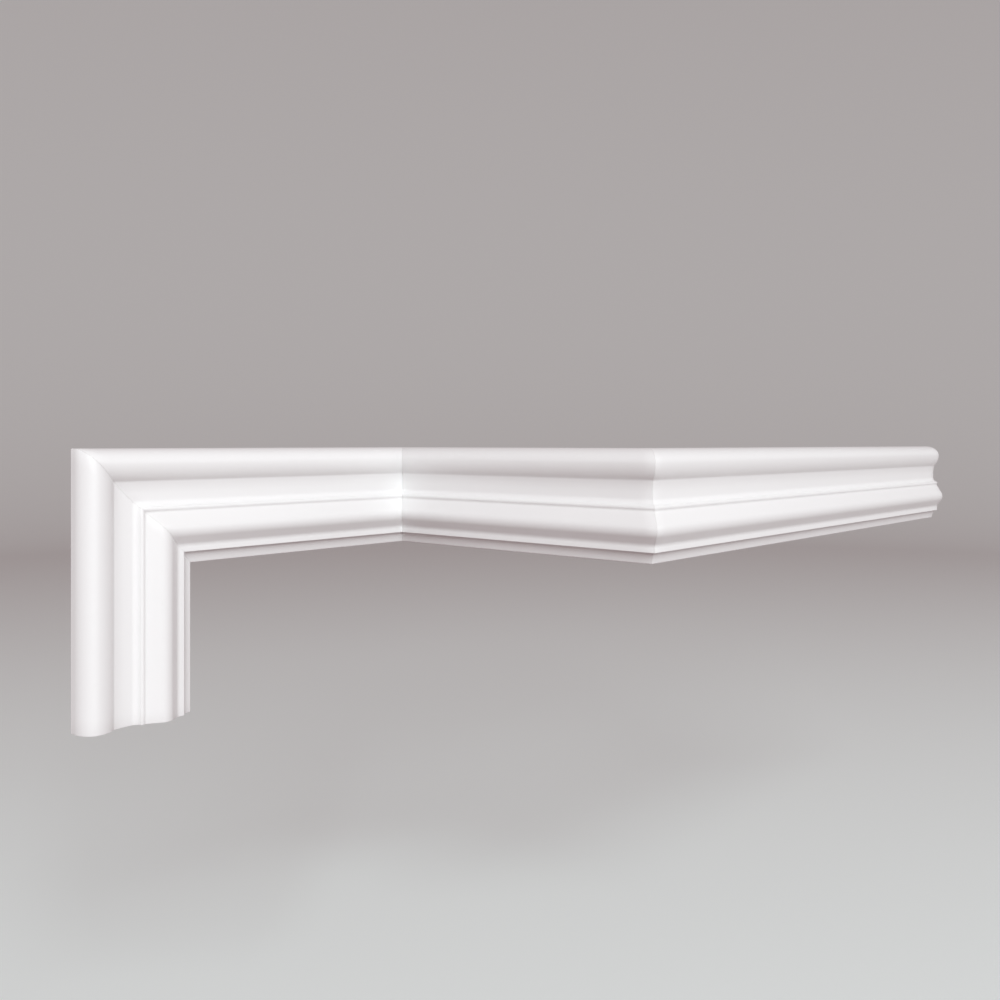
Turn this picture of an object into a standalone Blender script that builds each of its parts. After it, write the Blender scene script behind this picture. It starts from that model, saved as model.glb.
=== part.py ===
# A panel moulding in four mitred lengths: an upright leg, a left run on the same wall, a return
# run that comes forward from the inside corner, and a right run from the outside corner on.
# Every length has one section, is flat behind, and stands out from the wall that it follows.

import math

import bmesh
import bpy
from mathutils import Vector

# Lengths, in metres, each measured on the wall along the moulding's outer edge
LEG_LENGTH = 0.207
LEFT_RUN_LENGTH = 0.330
RETURN_RUN_LENGTH = 0.280
RIGHT_RUN_LENGTH = 0.641
MITRE_GAP = 0.0003

# Section, from its outer edge to its inner edge. A depth is how far a member stands out from
# the wall, and a width is taken across the face.
OUTER_EDGE_DEPTH = 0.0055
TORUS_DEPTH = 0.0209
TORUS_RISE_WIDTH = 0.0115
TORUS_FALL_WIDTH = 0.013
QUIRK_DEPTH = 0.0156
COVE_FALL_WIDTH = 0.0095
COVE_DEPTH = 0.01415
COVE_FLOOR_WIDTH = 0.0054
COVE_RISE_RADIUS = 0.00515
COVE_RISE_ANGLE = math.radians(72)
BEAD_RADIUS = 0.002
BEAD_FALL_ANGLE = math.radians(29)
BEAD_HOLLOW_RADIUS = 0.0022
UPPER_FLANK_ANGLE = math.radians(31)
NOSE_DEPTH = 0.0254
NOSE_UPPER_RADIUS = 0.0079
NOSE_LOWER_RADIUS = 0.01
LOWER_FLANK_ANGLE = math.radians(35.3)
CAVETTO_RADIUS = 0.006
FILLET_DEPTH = 0.0189
FILLET_WIDTH = 0.00395
STEP_DEPTH = 0.0031
INNER_MEMBER_WIDTH = 0.009365
INNER_EDGE_DEPTH = 0.0122
INNER_EDGE_ANGLE = math.radians(12)

# Surface
PRIMER_COLOUR = (0.86, 0.86, 0.84, 1.0)
PRIMER_ROUGHNESS = 0.45
ARC_STEP = math.radians(4)
SHARP_ANGLE = math.radians(18)


def steps_for(turn):
    return max(2, math.ceil(abs(turn) / ARC_STEP))


def add_ellipse_rise(points, width, crest_depth):
    """A quarter ellipse that leaves the last point square to the wall and ends level."""
    across, depth = points[-1]
    steps = steps_for(math.pi / 2)
    for step in range(1, steps + 1):
        turn = math.pi / 2 * step / steps
        points.append(
            (
                across + width * (1 - math.cos(turn)),
                depth + (crest_depth - depth) * math.sin(turn),
            )
        )


def add_arc(points, radius, start_slope, end_slope):
    """An arc whose direction turns from one slope to the other. Slopes are angles to the wall."""
    across, depth = points[-1]
    side = math.copysign(radius, end_slope - start_slope)
    steps = steps_for(end_slope - start_slope)
    for step in range(1, steps + 1):
        slope = start_slope + (end_slope - start_slope) * step / steps
        points.append(
            (
                across + side * (math.sin(slope) - math.sin(start_slope)),
                depth - side * (math.cos(slope) - math.cos(start_slope)),
            )
        )


def radius_and_angle(width, rise):
    """Radius and turn of the arc that starts level and ends this far across and this much deeper."""
    radius = (width**2 + rise**2) / (2 * abs(rise))
    return radius, 2 * math.atan2(rise, width)


def add_level_start_arc(points, width, end_depth):
    radius, angle = radius_and_angle(width, end_depth - points[-1][1])
    add_arc(points, radius, 0.0, angle)


def add_level_end_arc(points, width, end_depth):
    radius, angle = radius_and_angle(width, end_depth - points[-1][1])
    add_arc(points, radius, angle, 0.0)


def add_falling_hollow(points, width, end_depth, end_slope):
    """A shallow hollow that falls to the given depth, where its slope is the given one."""
    fall = points[-1][1] - end_depth
    chord_slope = math.atan2(fall, width)
    half_turn = chord_slope - end_slope
    radius = math.hypot(width, fall) / (2 * math.sin(half_turn))
    add_arc(points, radius, -(chord_slope + half_turn), -end_slope)


def add_flank(points, slope, end_depth):
    """A straight stretch at this slope to the wall, up or down to the given depth."""
    across, depth = points[-1]
    points.append((across + (end_depth - depth) / math.tan(slope), end_depth))


def section():
    """The section as (distance from the outer edge, depth from the wall), along its front."""
    points = [(0.0, 0.0), (0.0, OUTER_EDGE_DEPTH)]
    add_ellipse_rise(points, TORUS_RISE_WIDTH, TORUS_DEPTH)
    add_level_start_arc(points, TORUS_FALL_WIDTH, QUIRK_DEPTH)
    add_level_end_arc(points, COVE_FALL_WIDTH, COVE_DEPTH)
    points.append((points[-1][0] + COVE_FLOOR_WIDTH, COVE_DEPTH))
    add_arc(points, COVE_RISE_RADIUS, 0.0, COVE_RISE_ANGLE)
    add_arc(points, BEAD_RADIUS, COVE_RISE_ANGLE, -BEAD_FALL_ANGLE)
    add_arc(points, BEAD_HOLLOW_RADIUS, -BEAD_FALL_ANGLE, UPPER_FLANK_ANGLE)
    nose_start_depth = NOSE_DEPTH - NOSE_UPPER_RADIUS * (1 - math.cos(UPPER_FLANK_ANGLE))
    add_flank(points, UPPER_FLANK_ANGLE, nose_start_depth)
    add_arc(points, NOSE_UPPER_RADIUS, UPPER_FLANK_ANGLE, 0.0)
    add_arc(points, NOSE_LOWER_RADIUS, 0.0, -LOWER_FLANK_ANGLE)
    cavetto_depth = FILLET_DEPTH + CAVETTO_RADIUS * (1 - math.cos(LOWER_FLANK_ANGLE))
    add_flank(points, -LOWER_FLANK_ANGLE, cavetto_depth)
    add_arc(points, CAVETTO_RADIUS, -LOWER_FLANK_ANGLE, 0.0)
    step_across = points[-1][0] + FILLET_WIDTH
    points.append((step_across, FILLET_DEPTH))
    points.append((step_across, FILLET_DEPTH - STEP_DEPTH))
    add_falling_hollow(points, INNER_MEMBER_WIDTH, INNER_EDGE_DEPTH, INNER_EDGE_ANGLE)
    points.append((points[-1][0], 0.0))
    return points


SECTION = section()
MOULDING_WIDTH = SECTION[-1][0]
# Half the gap, measured along a length that meets the mitre at 45 degrees
MITRE_CLEARANCE = MITRE_GAP / 2 * math.sqrt(2)


def primer_material(name):
    material = bpy.data.materials.new(name)
    material.use_nodes = True
    shader = material.node_tree.nodes["Principled BSDF"]
    shader.inputs["Base Color"].default_value = PRIMER_COLOUR
    shader.inputs["Roughness"].default_value = PRIMER_ROUGHNESS
    shader.inputs["Metallic"].default_value = 0.0
    material.diffuse_color = PRIMER_COLOUR
    return material


def moulding(name, start, end, corner, location=(0.0, 0.0, 0.0), turn=(0.0, 0.0, 0.0)):
    """One length along its own +X, with its wall at y = 0 and its outer edge at z = 0.

    start and end give, for a point of the section, where the length is cut along X."""
    bm = bmesh.new()
    rings = [
        [bm.verts.new((cut(across, depth), -depth, -across)) for across, depth in SECTION]
        for cut in (start, end)
    ]
    for ring in rings:
        bm.faces.new(ring)
    for index in range(len(SECTION)):
        following = (index + 1) % len(SECTION)
        bm.faces.new(
            (rings[0][index], rings[0][following], rings[1][following], rings[1][index])
        )
    bmesh.ops.recalc_face_normals(bm, faces=bm.faces)
    mesh = bpy.data.meshes.new(name)
    bm.to_mesh(mesh)
    bm.free()
    mesh.shade_smooth()
    mesh.set_sharp_from_angle(angle=SHARP_ANGLE)
    mesh.materials.append(primer_material(f"{name}_primer"))
    piece = bpy.data.objects.new(name, mesh)
    piece.parent = corner
    piece.location = location
    piece.rotation_euler = turn
    bpy.context.collection.objects.link(piece)
    return piece


def upright_leg(corner):
    """Hangs from the top mitre, so its own +X points up and its lower end is cut square."""
    moulding(
        "upright_leg",
        start=lambda across, depth: -LEG_LENGTH,
        end=lambda across, depth: -across - MITRE_CLEARANCE,
        corner=corner,
        turn=(0.0, -math.pi / 2, 0.0),
    )


def left_run(corner):
    moulding(
        "left_run",
        start=lambda across, depth: across + MITRE_CLEARANCE,
        end=lambda across, depth: LEFT_RUN_LENGTH - depth - MITRE_CLEARANCE,
        corner=corner,
    )


def return_run(corner):
    """Comes forward from the inside corner to the outside one, on a wall square to the others."""
    moulding(
        "return_run",
        start=lambda across, depth: depth + MITRE_CLEARANCE,
        end=lambda across, depth: RETURN_RUN_LENGTH + depth - MITRE_CLEARANCE,
        corner=corner,
        location=(LEFT_RUN_LENGTH, 0.0, 0.0),
        turn=(0.0, 0.0, -math.pi / 2),
    )


def right_run(corner):
    moulding(
        "right_run",
        start=lambda across, depth: MITRE_CLEARANCE - depth,
        end=lambda across, depth: RIGHT_RUN_LENGTH,
        corner=corner,
        location=(LEFT_RUN_LENGTH, -RETURN_RUN_LENGTH, 0.0),
    )


def main():
    for leftover in list(bpy.data.objects):
        bpy.data.objects.remove(leftover)
    # The outer corner of the leg and the left run hangs from the middle of the left run's back
    corner = bpy.data.objects.new("upper_left_corner", None)
    back_middle = (LEFT_RUN_LENGTH + MOULDING_WIDTH / 2) / 2
    corner.location = Vector((-back_middle, 0.0, MOULDING_WIDTH / 2))
    bpy.context.collection.objects.link(corner)
    for make in (upright_leg, left_run, return_run, right_run):
        make(corner)


main()
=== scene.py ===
import math

import bpy
import numpy as np
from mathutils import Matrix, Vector


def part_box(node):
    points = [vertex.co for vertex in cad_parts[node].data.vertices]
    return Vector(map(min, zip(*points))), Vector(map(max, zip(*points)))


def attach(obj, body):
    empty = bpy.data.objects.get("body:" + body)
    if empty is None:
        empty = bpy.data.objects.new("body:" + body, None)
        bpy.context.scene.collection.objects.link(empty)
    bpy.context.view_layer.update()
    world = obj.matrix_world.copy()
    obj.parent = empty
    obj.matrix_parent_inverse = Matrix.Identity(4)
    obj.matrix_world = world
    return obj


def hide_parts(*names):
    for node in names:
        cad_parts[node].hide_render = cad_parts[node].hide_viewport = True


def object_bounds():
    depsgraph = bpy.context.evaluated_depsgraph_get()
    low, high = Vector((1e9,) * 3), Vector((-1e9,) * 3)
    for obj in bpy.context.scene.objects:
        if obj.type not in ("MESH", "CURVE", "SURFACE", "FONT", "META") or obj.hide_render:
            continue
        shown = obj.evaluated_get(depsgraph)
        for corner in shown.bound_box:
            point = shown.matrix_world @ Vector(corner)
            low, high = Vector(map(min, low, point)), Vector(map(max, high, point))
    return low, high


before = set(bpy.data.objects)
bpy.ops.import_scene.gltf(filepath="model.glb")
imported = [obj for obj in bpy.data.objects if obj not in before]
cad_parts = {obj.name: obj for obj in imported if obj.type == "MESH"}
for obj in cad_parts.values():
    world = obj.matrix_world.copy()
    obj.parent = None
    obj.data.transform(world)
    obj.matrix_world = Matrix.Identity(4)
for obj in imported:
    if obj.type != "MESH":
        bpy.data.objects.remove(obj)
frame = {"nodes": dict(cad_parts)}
cadLow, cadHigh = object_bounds()
cadMiddle = (cadLow + cadHigh) / 2
print("frame loaded:", ", ".join(frame["nodes"]))

# Where the lengths meet, on their outer edges and in the planes of their backs, read from the
# packed lengths
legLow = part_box("upright_leg")[0]
leftLow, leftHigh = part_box("left_run")
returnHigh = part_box("return_run")[1]
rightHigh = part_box("right_run")[1]
topCorner = Vector((legLow.x, leftHigh.y, leftHigh.z))
insideCorner = Vector((returnHigh.x, leftHigh.y, leftHigh.z))
outsideCorner = Vector((returnHigh.x, rightHigh.y, leftHigh.z))
mouldingWidth = leftHigh.z - leftLow.z
mouldingDepth = leftHigh.y - leftLow.y

# Section of the moulding, in metres and degrees, from the outer edge inwards. A depth is how far
# a member stands out from the flat back, and a width is taken across the face.
sectionSizes = {
    "edgeDepth": 0.0055,
    "torusDepth": 0.0209,
    "torusRiseWidth": 0.0115,
    "torusFallWidth": 0.013,
    "quirkDepth": 0.0156,
    "coveFallWidth": 0.0095,
    "coveDepth": 0.01415,
    "coveFloorWidth": 0.0054,
    "coveRiseRadius": 0.00515,
    "coveRiseAngle": 72.0,
    "beadRadius": 0.002,
    "beadFallAngle": 29.0,
    "beadHollowRadius": 0.0022,
    "upperFlankAngle": 31.0,
    "noseDepth": mouldingDepth,
    "noseUpperRadius": 0.0079,
    "noseLowerRadius": 0.01,
    "lowerFlankAngle": 35.3,
    "cavettoRadius": 0.006,
    "filletDepth": 0.0189,
    "filletWidth": 0.00395,
    "stepDepth": 0.0031,
    "innerEdgeDepth": 0.0122,
    "innerEdgeAngle": 12.0,
    "width": mouldingWidth,
    "arcStep": 1.5,          # degrees between points of an arc
    "straightStep": 0.0012,  # metres between points of a straight stretch
    "backStep": 0.009,       # metres between points of the flat back
    "easePoints": 7,         # points along an eased corner
}
# How far each hard corner of the section is softened, as a moulded skin is
cornerEases = {
    "quirk": 0.0010,
    "filletArris": 0.0007,
    "stepFoot": 0.0003,
    "innerArris": 0.0009,
}


def arcFrom(start, radius, fromAngle, toAngle):
    # an arc turns its slope evenly: each point is the start plus the radius times the change of
    # (sine, minus cosine) of the slope
    steps = max(2, math.ceil(abs(toAngle - fromAngle) / sectionSizes["arcStep"]))
    slope = np.radians(np.linspace(fromAngle, toAngle, steps + 1)[1:])
    first = math.radians(fromAngle)
    side = math.copysign(radius, toAngle - fromAngle)
    turn = np.column_stack((np.sin(slope) - math.sin(first), math.cos(first) - np.cos(slope)))
    return start + side * turn


def arcThrough(start, width, endDepth, levelAtStart):
    # the one arc that is level at one end and reaches the given width and depth: its radius is
    # (width squared + rise squared) / (2 * rise), and it turns by twice the slope of its chord
    rise = endDepth - start[1]
    radius = (width**2 + rise**2) / (2 * abs(rise))
    angle = math.degrees(2 * math.atan2(rise, width))
    return arcFrom(start, radius, 0, angle) if levelAtStart else arcFrom(start, radius, angle, 0)


def arcFalling(start, end, endAngle):
    # an arc leaves its chord by the same angle at both ends, so the slopes of the chord and of
    # the end give the slope of the start
    across, fall = end[0] - start[0], start[1] - end[1]
    chordAngle = math.degrees(math.atan2(fall, across))
    startAngle = 2 * chordAngle - endAngle
    radius = math.hypot(across, fall) / (2 * math.sin(math.radians(startAngle - endAngle) / 2))
    return arcFrom(start, radius, -startAngle, -endAngle)


def ellipseRise(start, width, crestDepth):
    # a quarter ellipse: width times (1 - cosine) across, the rise times the sine outwards
    steps = math.ceil(90 / sectionSizes["arcStep"])
    turn = np.radians(np.linspace(0, 90, steps + 1)[1:])
    rise = crestDepth - start[1]
    return start + np.column_stack((width * (1 - np.cos(turn)), rise * np.sin(turn)))


def straightTo(start, end, step):
    # points at equal shares of the way from the start to the end, a step apart at most
    steps = max(1, math.ceil(math.dist(start, end) / step))
    return start + np.linspace(0, 1, steps + 1)[1:, None] * (np.asarray(end) - start)


def easeCorner(points, corner, reach):
    # what lies within reach on both sides of the corner gives way to a quadratic curve, as t
    # runs from 0 to 1: (1 - t) squared * the near end + 2t(1 - t) * the corner + t squared * the
    # far end
    index = int(np.argmin(np.linalg.norm(points - corner, axis=1)))
    stretches = np.linalg.norm(np.diff(points, axis=0), axis=1)
    travelled = np.concatenate(([0], np.cumsum(stretches)))
    before, after = travelled[index] - reach, travelled[index] + reach
    nearEnd, farEnd = (
        np.array([np.interp(at, travelled, points[:, axis]) for axis in (0, 1)])
        for at in (before, after)
    )
    t = np.linspace(0, 1, sectionSizes["easePoints"])[:, None]
    curve = (1 - t) ** 2 * nearEnd + 2 * t * (1 - t) * points[index] + t**2 * farEnd
    return np.vstack((points[travelled < before], curve, points[travelled > after]))


def mouldingSection(sizes, eases):
    # the members follow one another as arcs, an ellipse and straight stretches, as (across,
    # depth); the list starts and ends in the plane of the back, and the flat back closes it
    fine = sizes["straightStep"]
    coveRise, beadFall = sizes["coveRiseAngle"], sizes["beadFallAngle"]
    upperFlank, lowerFlank = sizes["upperFlankAngle"], sizes["lowerFlankAngle"]
    line = [np.array([[0.0, 0.0]])]

    def last():
        return line[-1][-1]

    line.append(straightTo(last(), (0.0, sizes["edgeDepth"]), fine))
    line.append(ellipseRise(last(), sizes["torusRiseWidth"], sizes["torusDepth"]))
    line.append(arcThrough(last(), sizes["torusFallWidth"], sizes["quirkDepth"], True))
    quirk = last()
    line.append(arcThrough(last(), sizes["coveFallWidth"], sizes["coveDepth"], False))
    line.append(straightTo(last(), last() + (sizes["coveFloorWidth"], 0), fine))
    line.append(arcFrom(last(), sizes["coveRiseRadius"], 0, coveRise))
    line.append(arcFrom(last(), sizes["beadRadius"], coveRise, -beadFall))
    line.append(arcFrom(last(), sizes["beadHollowRadius"], -beadFall, upperFlank))
    upper, lower = math.radians(upperFlank), math.radians(lowerFlank)
    rise = sizes["noseDepth"] - sizes["noseUpperRadius"] * (1 - math.cos(upper)) - last()[1]
    line.append(straightTo(last(), last() + (rise / math.tan(upper), rise), fine))
    line.append(arcFrom(last(), sizes["noseUpperRadius"], upperFlank, 0))
    line.append(arcFrom(last(), sizes["noseLowerRadius"], 0, -lowerFlank))
    fall = last()[1] - sizes["filletDepth"] - sizes["cavettoRadius"] * (1 - math.cos(lower))
    line.append(straightTo(last(), last() + (fall / math.tan(lower), -fall), fine))
    line.append(arcFrom(last(), sizes["cavettoRadius"], -lowerFlank, 0))
    line.append(straightTo(last(), last() + (sizes["filletWidth"], 0), fine))
    arris = last()
    line.append(straightTo(arris, arris - (0, sizes["stepDepth"]), fine))
    foot = last()
    innerArris = np.array((sizes["width"], sizes["innerEdgeDepth"]))
    line.append(arcFalling(foot, innerArris, sizes["innerEdgeAngle"]))
    line.append(straightTo(innerArris, (sizes["width"], 0.0), fine))

    points = np.vstack(line)
    corners = {"quirk": quirk, "filletArris": arris, "stepFoot": foot, "innerArris": innerArris}
    for cornerName, corner in corners.items():
        points = easeCorner(points, corner, eases[cornerName])
    back = straightTo(points[-1], points[0], sizes["backStep"])[:-1]
    closed = np.vstack((points, back))
    onBack = np.arange(len(closed)) >= len(points) - 1
    return closed, onBack


section, sectionOnBack = mouldingSection(sectionSizes, cornerEases)
print("section:", len(section), "points")


def inwardNormals(points):
    # the tangent is the step from the point before to the point after, and the normal is the
    # tangent turned a quarter
    tangent = np.roll(points, -1, axis=0) - np.roll(points, 1, axis=0)
    tangent /= np.linalg.norm(tangent, axis=1)[:, None]
    return np.column_stack((tangent[:, 1], -tangent[:, 0]))


def ringQuads(ringCount, pointCount):
    # each face joins a point and the one after it, counted round, on one ring and on the next
    ring, point = np.meshgrid(np.arange(ringCount - 1), np.arange(pointCount), indexing="ij")
    following = (point + 1) % pointCount
    corners = (
        ring * pointCount + point,
        ring * pointCount + following,
        (ring + 1) * pointCount + following,
        (ring + 1) * pointCount + point,
    )
    return np.stack(corners, axis=2).reshape(-1, 4)


def mapLength(mesh, along):
    # the long faces are mapped by (distance along, distance round the section), and the last
    # strip ends at the whole distance round, not at 0; the two cut ends by (across, depth)
    ringCount, pointCount = along.shape
    stretches = np.linalg.norm(np.roll(section, -1, axis=0) - section, axis=1)
    travelled = np.concatenate(([0], np.cumsum(stretches)))
    pointMap = np.column_stack((along.reshape(-1), np.tile(travelled[:-1], ringCount)))
    loopPoint = np.empty(len(mesh.loops), np.int32)
    mesh.loops.foreach_get("vertex_index", loopPoint)
    loopMap = pointMap[loopPoint]
    longLoops = 4 * (ringCount - 1) * pointCount
    lastStrip = np.tile(np.arange(pointCount) == pointCount - 1, ringCount - 1)
    backAtStart = np.repeat(lastStrip, 4) & (loopMap[:longLoops, 1] == 0)
    loopMap[:longLoops][backAtStart, 1] = travelled[-1]
    loopMap[longLoops:] = section[loopPoint[longLoops:] % pointCount]
    mesh.uv_layers.new(name="alongAndAround").data.foreach_set("uv", loopMap.reshape(-1))


def sweepMoulding(name, place, startCut, endCut, settings):
    # every point is the corner + along * alongWay + across * acrossWay + depth * outWay. Along
    # runs evenly from one cut to the other, and a cut is a distance + a share of across + a share
    # of depth, so it can be a mitre. At both cuts the last rings draw in on a quarter circle,
    # which breaks the sharp edge.
    ease, rings = settings["cutEase"], settings["easeRings"]
    quarter = np.radians(np.linspace(90, 0, rings))
    drawIn = ease * (1 - np.cos(quarter))
    pullBack = ease * (1 - np.sin(quarter))
    steps = settings["stations"]
    shares = np.concatenate((np.zeros(rings), np.linspace(0, 1, steps + 1)[1:-1], np.ones(rings)))
    insets = np.concatenate((drawIn, np.zeros(steps - 1), drawIn[::-1]))
    pulls = np.concatenate((pullBack, np.full(steps - 1, ease), pullBack[::-1]))

    normals = inwardNormals(section)
    flat = section[None] + insets[:, None, None] * normals[None]
    across, depth = flat[..., 0], flat[..., 1]
    starts = startCut[0] + startCut[1] * across + startCut[2] * depth + pulls[:, None]
    ends = endCut[0] + endCut[1] * across + endCut[2] * depth - pulls[:, None]
    along = starts + shares[:, None] * (ends - starts)
    ways = np.array((place["alongWay"], place["acrossWay"], place["outWay"]), float)
    points = np.array(place["corner"]) + np.stack((along, across, depth), axis=2) @ ways

    ringCount, pointCount = along.shape
    quads = ringQuads(ringCount, pointCount)
    startCap = np.arange(pointCount)[::-1]
    endCap = np.arange(pointCount) + (ringCount - 1) * pointCount
    if np.linalg.det(ways) > 0:   # the faces are turned over, so that they point outwards
        quads, startCap, endCap = quads[:, ::-1], startCap[::-1], endCap[::-1]

    mesh = bpy.data.meshes.new(name)
    faces = [*quads.tolist(), startCap.tolist(), endCap.tolist()]
    mesh.from_pydata(points.reshape(-1, 3), [], faces)
    mapLength(mesh, along)
    bare = np.concatenate((np.tile(sectionOnBack, ringCount - 1), (True, True)))
    mesh.polygons.foreach_set("material_index", bare.astype(np.int32))
    mesh.validate()
    mesh.shade_smooth()
    mesh.set_sharp_from_angle(angle=math.radians(settings["sharpAngle"]))
    piece = bpy.data.objects.new(name, mesh)
    bpy.context.scene.collection.objects.link(piece)
    return piece


def nodeGroup(name, inputs, outputs):
    # a group with these named inputs and outputs, still empty between them
    tree = bpy.data.node_groups.new(name, "ShaderNodeTree")
    for socketName, kind in inputs:
        tree.interface.new_socket(socketName, in_out="INPUT", socket_type=kind)
    for socketName, kind in outputs:
        tree.interface.new_socket(socketName, in_out="OUTPUT", socket_type=kind)
    return tree, tree.nodes.new("NodeGroupInput"), tree.nodes.new("NodeGroupOutput")


def feed(tree, socket, value):
    # a socket takes a fixed number, or else what another node puts out
    if isinstance(value, (int, float)):
        socket.default_value = value
    else:
        tree.links.new(value, socket)


def mapRange(tree, value, fromSpan, toSpan):
    # carries one span of values evenly over to another, and holds what lies outside it
    node = tree.nodes.new("ShaderNodeMapRange")
    node.inputs["From Min"].default_value, node.inputs["From Max"].default_value = fromSpan
    node.inputs["To Min"].default_value, node.inputs["To Max"].default_value = toSpan
    tree.links.new(value, node.inputs["Value"])
    return node.outputs["Result"]


def noise(tree, vector, scale, detail, roughness):
    # cloudy noise, about 0.5 in its middle, with scale clouds to a metre
    node = tree.nodes.new("ShaderNodeTexNoise")
    tree.links.new(vector, node.inputs["Vector"])
    feed(tree, node.inputs["Scale"], scale)
    node.inputs["Detail"].default_value = detail
    node.inputs["Roughness"].default_value = roughness
    return node.outputs["Fac"]


def combine(tree, operation, first, second):
    # adds or multiplies two values
    node = tree.nodes.new("ShaderNodeMath")
    node.operation = operation
    feed(tree, node.inputs[0], first)
    feed(tree, node.inputs[1], second)
    return node.outputs["Value"]


mottleLooks = {
    "cloudDetail": 4.0,
    "cloudRoughness": 0.55,
    "cloudSpan": (0.3, 0.7),   # the noise values that come out as 0 and 1
    "skinDetail": 2.0,
    "skinRoughness": 0.5,
}


def mottleGroup(looks):
    # slow clouds of tone over the whole part, and the fine skin of a sprayed or moulded surface
    tree, given, made = nodeGroup(
        "mottleAndSkin",
        (
            ("Position", "NodeSocketVector"),
            ("Cloud Scale", "NodeSocketFloat"),
            ("Skin Scale", "NodeSocketFloat"),
        ),
        (("Clouds", "NodeSocketFloat"), ("Skin", "NodeSocketFloat")),
    )
    position, cloudScale, skinScale = given.outputs[:3]
    clouds = noise(tree, position, cloudScale, looks["cloudDetail"], looks["cloudRoughness"])
    skin = noise(tree, position, skinScale, looks["skinDetail"], looks["skinRoughness"])
    tree.links.new(mapRange(tree, clouds, looks["cloudSpan"], (0.0, 1.0)), made.inputs["Clouds"])
    tree.links.new(skin, made.inputs["Skin"])
    return tree


lineLooks = {
    "alongScale": 3.0,
    "aroundScale": 900.0,
    "detail": 2.0,
    "roughness": 0.6,
}


def drawLineGroup(looks):
    # faint lines that run the whole length: noise on the piece's map, where one metre along
    # counts as alongScale and one metre round the section as aroundScale
    tree, given, made = nodeGroup(
        "drawnLines",
        (("Map", "NodeSocketVector"),),
        (("Lines", "NodeSocketFloat"),),
    )
    spread = tree.nodes.new("ShaderNodeMapping")
    spread.inputs["Scale"].default_value = (looks["alongScale"], looks["aroundScale"], 1.0)
    tree.links.new(given.outputs["Map"], spread.inputs["Vector"])
    lines = noise(tree, spread.outputs["Vector"], 1.0, looks["detail"], looks["roughness"])
    tree.links.new(lines, made.inputs["Lines"])
    return tree


def placeGroup(tree, group, values):
    # puts a group into a material, with the material's own values
    node = tree.nodes.new("ShaderNodeGroup")
    node.node_tree = group
    for socketName, value in values.items():
        node.inputs[socketName].default_value = value
    return node


def mixColours(tree, share, first, second):
    # (1 - share) * the first colour + share * the second
    node = tree.nodes.new("ShaderNodeMix")
    node.data_type = "RGBA"
    colourInputs = [socket for socket in node.inputs if socket.type == "RGBA"]
    for socket, colour in zip(colourInputs, (first, second)):
        socket.default_value = (*colour, 1.0)
    tree.links.new(share, node.inputs["Factor"])
    return next(socket for socket in node.outputs if socket.type == "RGBA")


def raiseSurface(tree, shader, height, distance):
    # shades the surface as if it stood out by height * distance, in metres
    bump = tree.nodes.new("ShaderNodeBump")
    bump.inputs["Distance"].default_value = distance
    bump.inputs["Strength"].default_value = 1.0
    tree.links.new(height, bump.inputs["Height"])
    tree.links.new(bump.outputs["Normal"], shader.inputs["Normal"])


def newMaterial(name):
    # a material and the one shader in it
    material = bpy.data.materials.new(name)
    material.use_nodes = True
    return material, material.node_tree.nodes["Principled BSDF"]


mottle, drawnLines = mottleGroup(mottleLooks), drawLineGroup(lineLooks)

primerLooks = {
    "lightTone": (0.808, 0.804, 0.802),
    "shadeTone": (0.790, 0.786, 0.784),
    "roughness": (0.40, 0.50),
    "cloudScale": 7.0,
    "skinScale": 520.0,
    "skinHeight": 0.000012,
    "lineHeight": 0.000010,
}


def whitePrimer(looks):
    # the height is the skin's noise * skinHeight + the lines' noise * lineHeight, in metres
    material, shader = newMaterial("whitePrimer")
    tree = material.node_tree
    coordinates = tree.nodes.new("ShaderNodeTexCoord")
    scales = {"Cloud Scale": looks["cloudScale"], "Skin Scale": looks["skinScale"]}
    surface = placeGroup(tree, mottle, scales)
    lines = placeGroup(tree, drawnLines, {})
    tree.links.new(coordinates.outputs["Object"], surface.inputs["Position"])
    tree.links.new(coordinates.outputs["UV"], lines.inputs["Map"])
    tone = mixColours(tree, surface.outputs["Clouds"], looks["lightTone"], looks["shadeTone"])
    tree.links.new(tone, shader.inputs["Base Color"])
    rough = mapRange(tree, surface.outputs["Clouds"], (0.0, 1.0), looks["roughness"])
    tree.links.new(rough, shader.inputs["Roughness"])
    skinRise = combine(tree, "MULTIPLY", surface.outputs["Skin"], looks["skinHeight"])
    lineRise = combine(tree, "MULTIPLY", lines.outputs["Lines"], looks["lineHeight"])
    raiseSurface(tree, shader, combine(tree, "ADD", skinRise, lineRise), 1.0)
    return material


foamLooks = {
    "lightTone": (0.85, 0.845, 0.805),
    # shadeTone is the tone of the darker clouds and of the painted shade on the cell floors
    "shadeTone": (0.78, 0.77, 0.72),
    "roughness": (0.75, 0.9),
    "cloudScale": 22.0,
    "poreScale": 1100.0,
    "poreSpan": (0.38, 0.5),   # the noise values of a cell's floor and of its rim
    "poreHeight": 0.00012,
}


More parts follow.
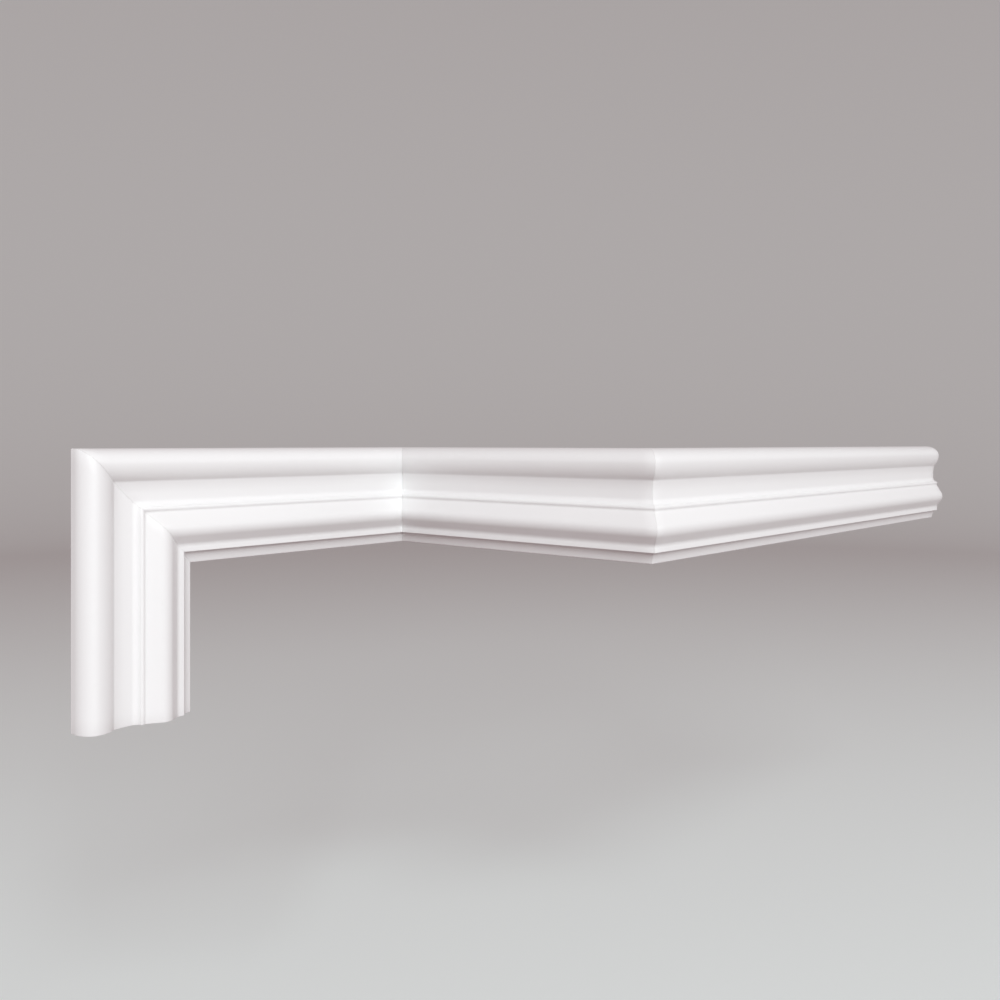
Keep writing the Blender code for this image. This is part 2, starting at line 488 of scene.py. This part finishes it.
def bareFoam(looks):
    # the unprimed back and the sawn ends: dense foam, with closed cells that the saw has opened;
    # the height is 0 on a cell's floor and poreHeight from its rim on. The cell floors are also
    # coloured darker, towards shadeTone, as painted shade in the pits, and slow clouds vary the
    # tone at random
    material, shader = newMaterial("bareFoam")
    tree = material.node_tree
    coordinates = tree.nodes.new("ShaderNodeTexCoord")
    scales = {"Cloud Scale": looks["cloudScale"], "Skin Scale": looks["poreScale"]}
    surface = placeGroup(tree, mottle, scales)
    tree.links.new(coordinates.outputs["Object"], surface.inputs["Position"])
    pores = mapRange(tree, surface.outputs["Skin"], looks["poreSpan"], (0.0, 1.0))
    # painted shade: the factor is the random clouds times the pore mask, so cell floors take the
    # shade tone
    shade = combine(tree, "MULTIPLY", surface.outputs["Clouds"], pores)
    tone = mixColours(tree, shade, looks["shadeTone"], looks["lightTone"])
    tree.links.new(tone, shader.inputs["Base Color"])
    rough = mapRange(tree, surface.outputs["Clouds"], (0.0, 1.0), looks["roughness"])
    tree.links.new(rough, shader.inputs["Roughness"])
    raiseSurface(tree, shader, pores, looks["poreHeight"])
    return material


primer, foam = whitePrimer(primerLooks), bareFoam(foamLooks)
print("materials made")

# Every cut between two lengths stands this far off the mitre plane
seam = 0.00003
seamAlong = seam * math.sqrt(2)   # the same gap, measured along a length


def finishPiece(piece, node):
    # primer is the first material and foam the second, as the faces' numbers say
    piece.data.materials.append(primer)
    piece.data.materials.append(foam)
    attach(piece, "root")
    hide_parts(node)


legSettings = {"cutEase": 0.00012, "easeRings": 4, "stations": 18, "sharpAngle": 40}


def makeUprightLeg(settings):
    # along runs up, from the square foot to the mitre, which drops away with the distance across
    place = {
        "corner": topCorner,
        "alongWay": (0, 0, 1),
        "acrossWay": (1, 0, 0),
        "outWay": (0, -1, 0),
    }
    foot = (legLow.z - topCorner.z, 0, 0)
    return sweepMoulding("uprightLeg", place, foot, (-seamAlong, -1, 0), settings)


leftSettings = {"cutEase": 0.00012, "easeRings": 4, "stations": 28, "sharpAngle": 40}


def makeLeftRun(settings):
    # along runs right, from the mitre with the leg to the inside corner
    place = {
        "corner": topCorner,
        "alongWay": (1, 0, 0),
        "acrossWay": (0, 0, -1),
        "outWay": (0, -1, 0),
    }
    length = insideCorner.x - topCorner.x
    endCut = (length - seamAlong, 0, -1)
    return sweepMoulding("leftRun", place, (seamAlong, 1, 0), endCut, settings)


returnSettings = {"cutEase": 0.00012, "easeRings": 4, "stations": 24, "sharpAngle": 40}


def makeReturnRun(settings):
    # along comes forward, from the inside corner to the outside one
    place = {
        "corner": insideCorner,
        "alongWay": (0, -1, 0),
        "acrossWay": (0, 0, -1),
        "outWay": (-1, 0, 0),
    }
    length = insideCorner.y - outsideCorner.y
    endCut = (length - seamAlong, 0, 1)
    return sweepMoulding("returnRun", place, (seamAlong, 0, 1), endCut, settings)


rightSettings = {"cutEase": 0.00012, "easeRings": 4, "stations": 54, "sharpAngle": 40}


def makeRightRun(settings):
    # along runs right, from the outside corner to the square free end
    place = {
        "corner": outsideCorner,
        "alongWay": (1, 0, 0),
        "acrossWay": (0, 0, -1),
        "outWay": (0, -1, 0),
    }
    freeEnd = (rightHigh.x - outsideCorner.x, 0, 0)
    return sweepMoulding("rightRun", place, (seamAlong, 0, -1), freeEnd, settings)


finishPiece(makeUprightLeg(legSettings), "upright_leg")
finishPiece(makeLeftRun(leftSettings), "left_run")
finishPiece(makeReturnRun(returnSettings), "return_run")
finishPiece(makeRightRun(rightSettings), "right_run")
print("four lengths swept")

studioSizes = {
    "floorDrop": 0.38,      # below the foot of the leg
    "centreRadius": 0.2,
    "floorRadius": 5.0,
    "floorSteps": 12,
    "bendRadius": 3.0,
    "bendSteps": 24,
    "sideHeight": 6.0,
    "pointsAround": 96,
    "tone": (0.85, 0.92, 0.905),
    "roughness": 0.9,
    "specular": 0.2,
}


def makeStudio(sizes):
    # a bowl: a flat disc, a quarter circle and an upright side, carried once round the middle of
    # the part
    bend = np.radians(np.linspace(0, 90, sizes["bendSteps"] + 1))[1:]
    floor = np.linspace(sizes["centreRadius"], sizes["floorRadius"], sizes["floorSteps"] + 1)
    outwards = np.concatenate((floor, sizes["floorRadius"] + sizes["bendRadius"] * np.sin(bend)))
    upwards = np.concatenate((0 * floor, sizes["bendRadius"] * (1 - np.cos(bend))))
    outwards = np.append(outwards, outwards[-1])
    upwards = np.append(upwards, sizes["sideHeight"])
    around = np.linspace(0, 2 * math.pi, sizes["pointsAround"], endpoint=False)
    x = cadMiddle.x + outwards[:, None] * np.cos(around)
    y = cadMiddle.y + outwards[:, None] * np.sin(around)
    z = np.repeat((cadLow.z - sizes["floorDrop"] + upwards)[:, None], len(around), axis=1)
    rows, columns = x.shape
    quads = ringQuads(rows, columns)[:, [0, 3, 2, 1]]   # turned over, to face up and inwards
    mesh = bpy.data.meshes.new("studioBowl")
    points = np.stack((x, y, z), axis=2).reshape(-1, 3)
    mesh.from_pydata(points, [], [*quads.tolist(), list(range(columns))])
    mesh.shade_smooth()
    material, shader = newMaterial("palePaper")
    shader.inputs["Base Color"].default_value = (*sizes["tone"], 1)
    shader.inputs["Roughness"].default_value = sizes["roughness"]
    shader.inputs["Specular IOR Level"].default_value = sizes["specular"]
    mesh.materials.append(material)
    bowl = bpy.data.objects.new("studioBowl", mesh)
    bpy.context.scene.collection.objects.link(bowl)
    bowl.visible_diffuse = False   # the pale paper throws no light back on the part


makeStudio(studioSizes)

# Softboxes, in degrees: azimuth 0 stands in front of the left run and 90 in front of the return
# run, and the height is the angle above the level
softboxes = {
    "keyBox": {"azimuth": 40, "height": 30, "power": 285},
    "frontBox": {"azimuth": 20, "height": 15, "power": 78},
    "rightBox": {"azimuth": -30, "height": 15, "power": 48},
    "leftBox": {"azimuth": 110, "height": 15, "power": 48},
}
boxLooks = {"distance": 6.0, "side": 2.7, "tone": (0.933, 1.0, 1.012)}
roomLooks = {"strength": 0.26, "tone": (1.06, 0.75, 0.76)}   # the light that fills the shadows


def addSoftbox(name, settings, looks):
    # the box stands at distance * (-sine of azimuth * cosine of height, -cosine of azimuth *
    # cosine of height, sine of height) from the middle of the part, and faces it
    turn, height = math.radians(settings["azimuth"]), math.radians(settings["height"])
    level = math.cos(height)
    away = Vector((-math.sin(turn) * level, -math.cos(turn) * level, math.sin(height)))
    light = bpy.data.lights.new(name, "AREA")
    light.shape = "SQUARE"
    light.size = looks["side"]
    light.energy = settings["power"]
    light.color = looks["tone"]
    lamp = bpy.data.objects.new(name, light)
    lamp.location = cadMiddle + away * looks["distance"]
    lamp.rotation_euler = away.to_track_quat("Z", "Y").to_euler()
    lamp.visible_camera = False
    bpy.context.scene.collection.objects.link(lamp)


def makeWorld(looks):
    # one even light from all round
    world = bpy.data.worlds.new("softRoom")
    world.use_nodes = True
    background = world.node_tree.nodes["Background"]
    background.inputs["Color"].default_value = (*looks["tone"], 1)
    background.inputs["Strength"].default_value = looks["strength"]
    bpy.context.scene.world = world


for boxName, boxSettings in softboxes.items():
    addSoftbox(boxName, boxSettings, boxLooks)
makeWorld(roomLooks)
print("studio lit")

# The camera stands level, to the left and in front of the top corner, and is turned to the right
# by the heading, in degrees, from looking straight at the left run
cameraSettings = {
    "fromTopCorner": (-0.3409, -0.7109, 0.0037),
    "heading": -48.9,
    "lens": 35.9,
    "sensorWidth": 36,
    "shiftY": -0.0566,
    "clipStart": 0.01,
}


def makeCamera(settings):
    # the lens is in millimetres, and the shift in shares of the picture's width
    camera = bpy.data.cameras.new("photoCamera")
    camera.lens = settings["lens"]
    camera.sensor_width = settings["sensorWidth"]
    camera.shift_y = settings["shiftY"]
    camera.clip_start = settings["clipStart"]
    holder = bpy.data.objects.new("photoCamera", camera)
    holder.location = topCorner + Vector(settings["fromTopCorner"])
    holder.rotation_euler = (math.pi / 2, 0, math.radians(settings["heading"]))
    bpy.context.scene.collection.objects.link(holder)
    bpy.context.scene.camera = holder


makeCamera(cameraSettings)
bpy.context.scene.view_settings.view_transform = "Standard"
